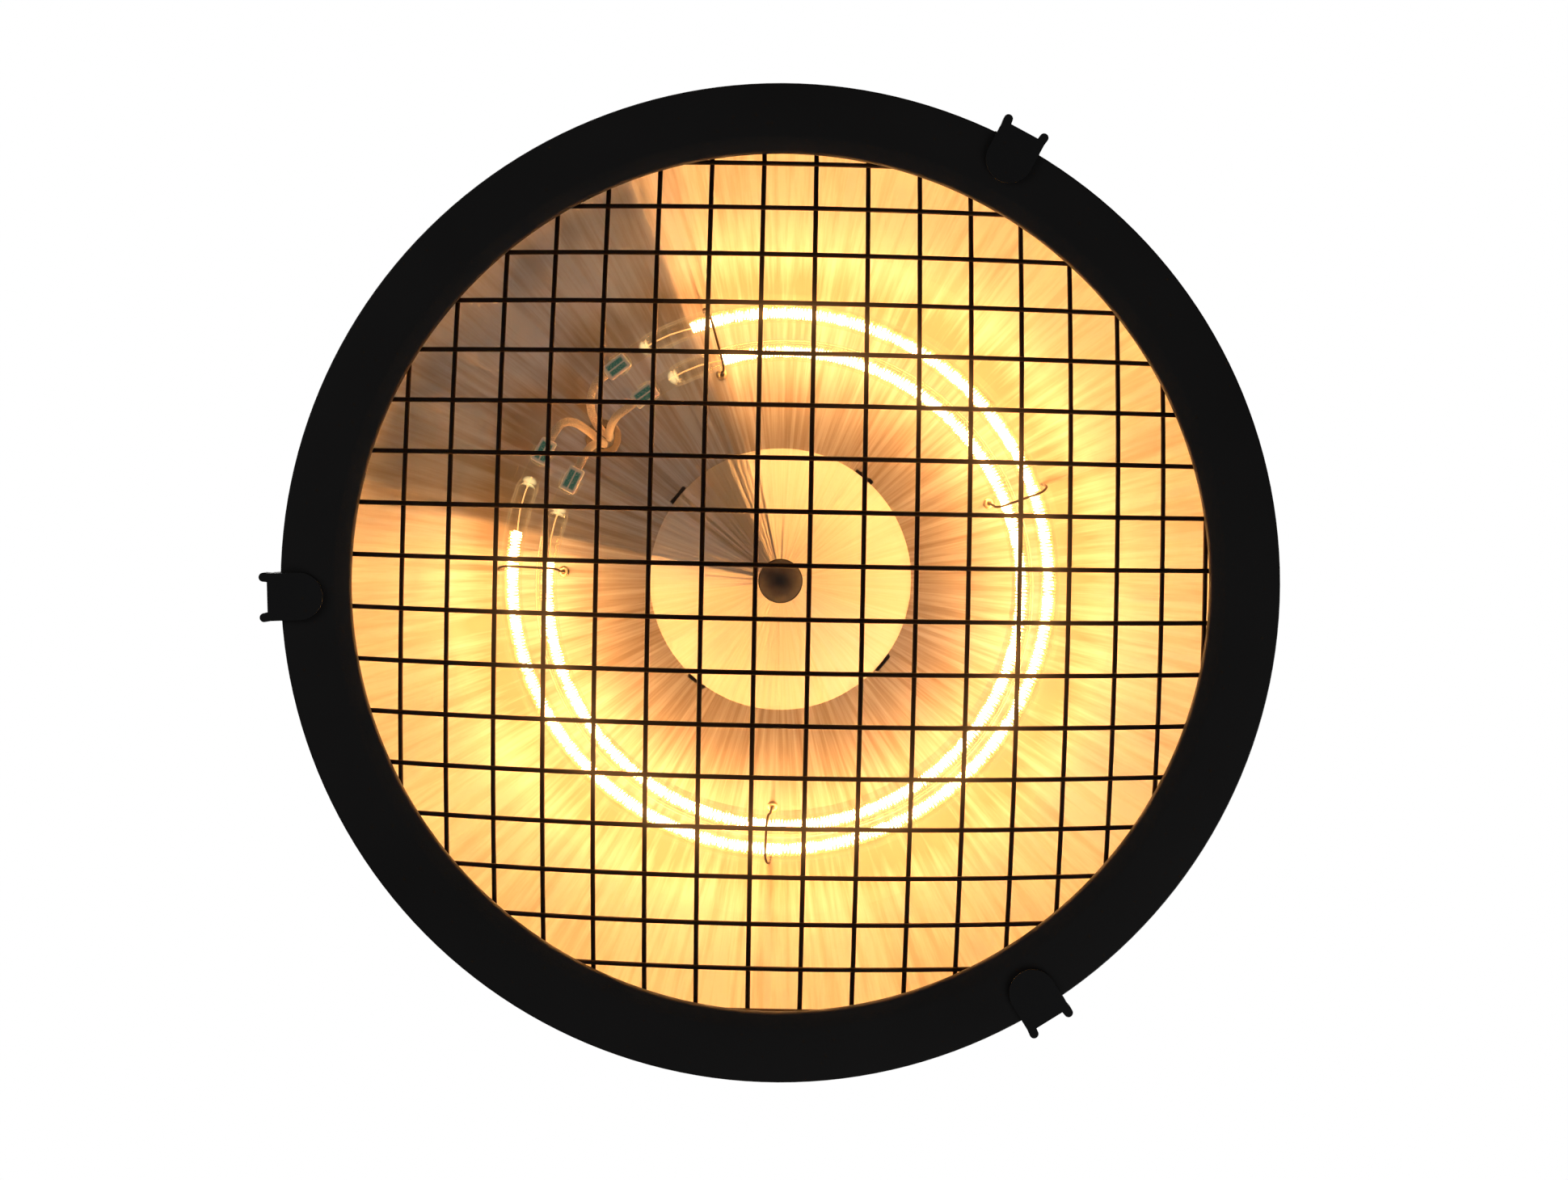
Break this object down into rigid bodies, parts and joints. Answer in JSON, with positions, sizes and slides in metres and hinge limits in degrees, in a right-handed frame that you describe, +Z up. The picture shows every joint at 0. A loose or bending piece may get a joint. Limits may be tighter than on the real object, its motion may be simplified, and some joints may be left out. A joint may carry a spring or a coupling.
{
  "type": "parabolic heater",
  "caption": "Hanging round radiant heater: a black shade over a bright reflector, ring lamps behind a wire guard held by latches, and a strap bail.",
  "frame": {"origin": "centre of the hanging hole in the bail, at the middle of the strap's thickness", "axes": "+Z up along the hanging hole and the heater's axis; +X along the bail's pivots; +Y towards the cable gland"},
  "size_m": [0.4286, 0.42, 0.2451],
  "materials": {
    "powder_coat": "fine satin powder coat",
    "latch_coat": "satin black coat",
    "guard_wire": "heat-darkened wire",
    "mirror_sheet": "bright, with radial polishing lines",
    "cone_sheet": "bright, satin",
    "nose_metal": "dull dark heat-resistant coat",
    "zinc_steel": "bright zinc plating",
    "shield_sheet": "mill finish",
    "black_steel": "black oxide",
    "quartz": "clear fused quartz",
    "glowing_wire": "white-hot resistance wire",
    "lamp_ceramic": null,
    "hot_wire": "heat-darkened wire",
    "eyelet_brass": "pale, warm",
    "lead_sleeve": "cream woven glass sleeve",
    "grommet_rubber": "matt silicone rubber",
    "block_ceramic": "unglazed",
    "terminal_brass": "bright",
    "cutout_body": "brown moulding",
    "gland_plastic": "fine grained"
  },
  "bodies": {
    "hanger": {"bail": "powder_coat"},
    "heater": {"shade": "powder_coat", "reflector": "mirror_sheet", "centre_cone": "cone_sheet", "cone_stud": "zinc_steel", "cone_nut": "zinc_steel", "nose_cap": "nose_metal", "guard_ring": "powder_coat", "guard_hoop": "guard_wire", "guard_wires_across": "guard_wire", "guard_wires_down": "guard_wire", "guard_clamps": "latch_coat", "outer_lamp_glass": "quartz", "inner_lamp_glass": "quartz", "outer_filament": "glowing_wire", "inner_filament": "glowing_wire", "outer_lamp_caps": "lamp_ceramic", "inner_lamp_caps": "lamp_ceramic", "lamp_supports": "hot_wire", "support_rivets": "eyelet_brass", "lead_outer_far": "lead_sleeve", "lead_outer_near": "lead_sleeve", "lead_inner_far": "lead_sleeve", "lead_inner_near": "lead_sleeve", "lead_grommet": "grommet_rubber", "shade_bushing": "grommet_rubber", "heat_shield": "shield_sheet", "shield_spacers": "shield_sheet", "rim_screws": "black_steel", "housing": "powder_coat", "housing_lid": "powder_coat", "lid_screws": "black_steel", "housing_screws": "black_steel", "terminal_block": "block_ceramic", "terminal_screws": "terminal_brass", "thermal_cutout": "cutout_body", "cable_gland": "gland_plastic", "gland_cap": "gland_plastic", "gland_locknut": "gland_plastic", "pivot_bolts": "zinc_steel", "pivot_nuts": "zinc_steel", "pivot_washers": "black_steel", "latch_brackets": "latch_coat", "bracket_rivets": "black_steel", "latch_pins": "zinc_steel", "latch_springs": "zinc_steel"},
    "latch_1": {"latch_lever_1": "latch_coat"},
    "latch_2": {"latch_lever_2": "latch_coat"},
    "latch_3": {"latch_lever_3": "latch_coat"}
  },
  "joints": [
    {"name": "bail_pivot", "type": "hinge", "parent": "hanger", "child": "heater", "pos_m": [0, 0, -0.078], "axis": [1, 0, 0], "range_deg": [-70, 70]},
    {"name": "latch_1_pin", "type": "hinge", "parent": "heater", "child": "latch_1", "pos_m": [0.1055, 0.18273, -0.1793], "axis": [0.866, -0.5, 0], "range_deg": [0, 95], "stiffness_Nm_per_rad": 0.05, "springref_deg": -28.65},
    {"name": "latch_2_pin", "type": "hinge", "parent": "heater", "child": "latch_2", "pos_m": [-0.211, 0, -0.1793], "axis": [0, 1, 0], "range_deg": [0, 95], "stiffness_Nm_per_rad": 0.05, "springref_deg": -28.65},
    {"name": "latch_3_pin", "type": "hinge", "parent": "heater", "child": "latch_3", "pos_m": [0.1055, -0.18273, -0.1793], "axis": [-0.866, -0.5, 0], "range_deg": [0, 95], "stiffness_Nm_per_rad": 0.05, "springref_deg": -28.65}
  ]
}
